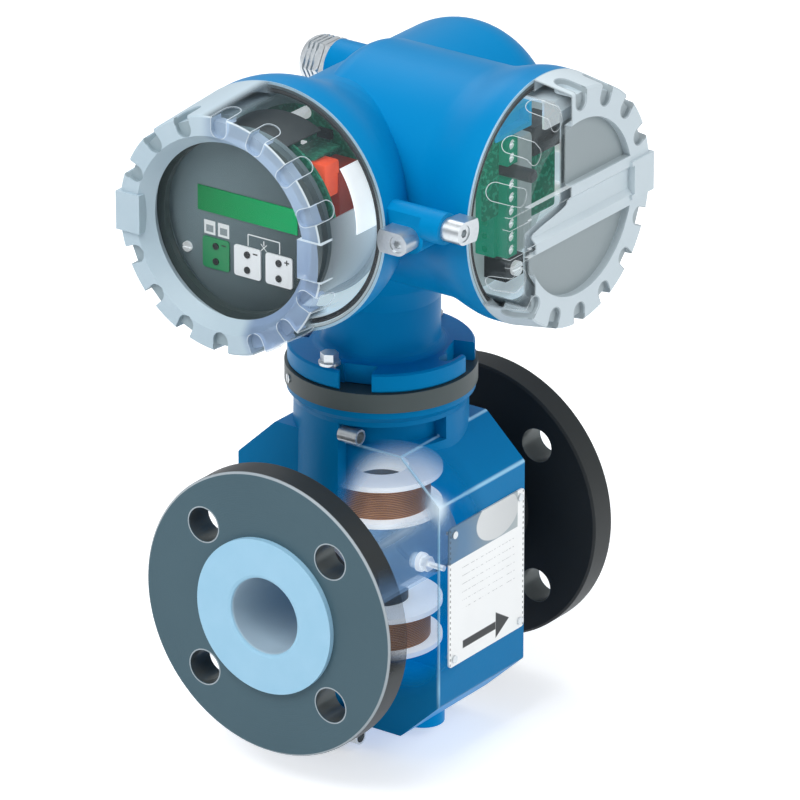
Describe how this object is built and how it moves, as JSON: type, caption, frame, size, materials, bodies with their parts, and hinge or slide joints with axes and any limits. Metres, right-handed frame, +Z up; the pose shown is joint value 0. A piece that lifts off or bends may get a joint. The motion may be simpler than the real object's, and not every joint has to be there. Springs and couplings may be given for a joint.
{
  "type": "electromagnetic flow meter",
  "caption": "Flanged electromagnetic flow meter with a boxed sensor housing and a two-compartment transmitter head with screwed covers.",
  "frame": {"origin": "middle of the meter on the pipe axis", "axes": "+X along the flow, inlet flange at -X; +Z up through the neck to the transmitter; rating plate and terminal cover face -Y, the display faces -X"},
  "size_m": [0.2345, 0.196, 0.367],
  "materials": {
    "steel": "turned stainless steel",
    "liner": "moulded pale blue-white liner",
    "flange_paint": "satin dark grey primer over steel",
    "white_plastic": "satin moulded plastic",
    "copper_wire": "enamelled copper wire",
    "blue_paint": "smooth blue powder coat",
    "bright_metal": "bright turned steel",
    "plate_white": "white plate with plain ruled fields",
    "ring_grey": "dark grey satin",
    "rubber": "black moulded rubber",
    "black_plastic": "black moulded plastic",
    "board_green": "green circuit board",
    "orange_plastic": "red-orange moulded block",
    "panel_grey": "dark grey printed film",
    "display_green": "green display glass",
    "terminal_green": "green moulded plastic",
    "plate_grey": "pale grey passivated sheet",
    "blue_plastic": "blue moulded plastic",
    "cover_metal": "pale blue-grey painted aluminium",
    "window_glass": "clear flat glass"
  },
  "bodies": {
    "sensor": {"measuring_tube": "steel", "liner": "liner", "inlet_flange": "flange_paint", "outlet_flange": "flange_paint", "electrodes": "steel", "electrode_bushes": "white_plastic", "electrode_nuts": "steel", "upper_coil_bobbin": "white_plastic", "upper_coil_winding": "copper_wire", "upper_pole_core": "steel", "lower_coil_bobbin": "white_plastic", "lower_coil_winding": "copper_wire", "lower_pole_core": "steel", "sensor_housing": "blue_paint", "earth_terminals": "bright_metal", "rating_plate": "plate_white", "rating_plate_rivets": "bright_metal", "neck_ring": "ring_grey", "neck_seal": "rubber", "ring_set_screw": "bright_metal", "head_clamp_screws": "bright_metal"},
    "transmitter": {"transmitter_column": "blue_paint", "transmitter_housing": "blue_paint", "partition_bush": "black_plastic", "module_pillars": "bright_metal", "main_board": "board_green", "transformer": "orange_plastic", "relay": "white_plastic", "capacitors": "black_plastic", "display_board": "board_green", "display_panel": "panel_grey", "display_module": "display_green", "key_pads": "white_plastic", "key_sensors": "black_plastic", "panel_screws": "bright_metal", "terminal_carrier": "plate_grey", "cable_clamp_posts": "black_plastic", "terminal_strips": "terminal_green", "shield_post": "black_plastic", "terminal_board": "board_green", "terminal_screws": "bright_metal", "fuse_holder": "black_plastic", "signal_connector": "blue_plastic", "ground_terminal": "black_plastic", "ground_screw": "bright_metal", "gland_body": "bright_metal", "entry_plug": "bright_metal", "display_lock_screw": "bright_metal", "terminal_lock_screw": "bright_metal"},
    "display_lock": {"display_lock_claw": "bright_metal"},
    "terminal_lock": {"terminal_lock_claw": "bright_metal"},
    "display_seal_ring": {"display_cover_seal": "rubber"},
    "display_end": {"display_cover": "cover_metal", "display_glass": "window_glass", "glass_retaining_ring": "ring_grey"},
    "terminal_seal_ring": {"terminal_cover_seal": "rubber"},
    "terminal_end": {"terminal_cover": "cover_metal"},
    "cable_seal": {"gland_seal": "rubber"},
    "cable_nut": {"gland_nut": "bright_metal"}
  },
  "joints": [
    {"name": "head_turn", "type": "hinge", "parent": "sensor", "child": "transmitter", "pos_m": [0, 0, 0.1056], "axis": [0, 0, -1], "range_deg": [0, 22]},
    {"name": "display_lock_swing", "type": "hinge", "parent": "transmitter", "child": "display_lock", "pos_m": [-0.085, -0.076, 0.214], "axis": [-1, 0, 0], "range_deg": [0, 90]},
    {"name": "terminal_lock_swing", "type": "hinge", "parent": "transmitter", "child": "terminal_lock", "pos_m": [-0.076, -0.097, 0.221], "axis": [0, -1, 0], "range_deg": [0, 90]},
    {"name": "display_cover_travel", "type": "slide", "parent": "transmitter", "child": "display_seal_ring", "axis": [-1, 0, 0], "range_m": [0, 0.0125]},
    {"name": "display_cover_turn", "type": "hinge", "parent": "display_seal_ring", "child": "display_end", "pos_m": [-0.085, 0, 0.214], "axis": [-1, 0, 0], "range_deg": [0, 2160]},
    {"name": "terminal_cover_travel", "type": "slide", "parent": "transmitter", "child": "terminal_seal_ring", "axis": [0, -1, 0], "range_m": [0, 0.0125]},
    {"name": "terminal_cover_turn", "type": "hinge", "parent": "terminal_seal_ring", "child": "terminal_end", "pos_m": [0, -0.097, 0.214], "axis": [0, -1, 0], "range_deg": [0, 2160]},
    {"name": "gland_nut_travel", "type": "slide", "parent": "transmitter", "child": "cable_seal", "axis": [0, 1, 0], "range_m": [0, 0.0066]},
    {"name": "gland_nut_turn", "type": "hinge", "parent": "cable_seal", "child": "cable_nut", "pos_m": [0.036, 0.062, 0.239], "axis": [0, 1, 0], "range_deg": [0, 1440]}
  ],
  "couplings": [
    {"joint": "display_cover_travel", "follows": "display_cover_turn", "m_per_rad": 0.00031831},
    {"joint": "terminal_cover_travel", "follows": "terminal_cover_turn", "m_per_rad": 0.00031831},
    {"joint": "gland_nut_travel", "follows": "gland_nut_turn", "m_per_rad": 0.00023873}
  ]
}
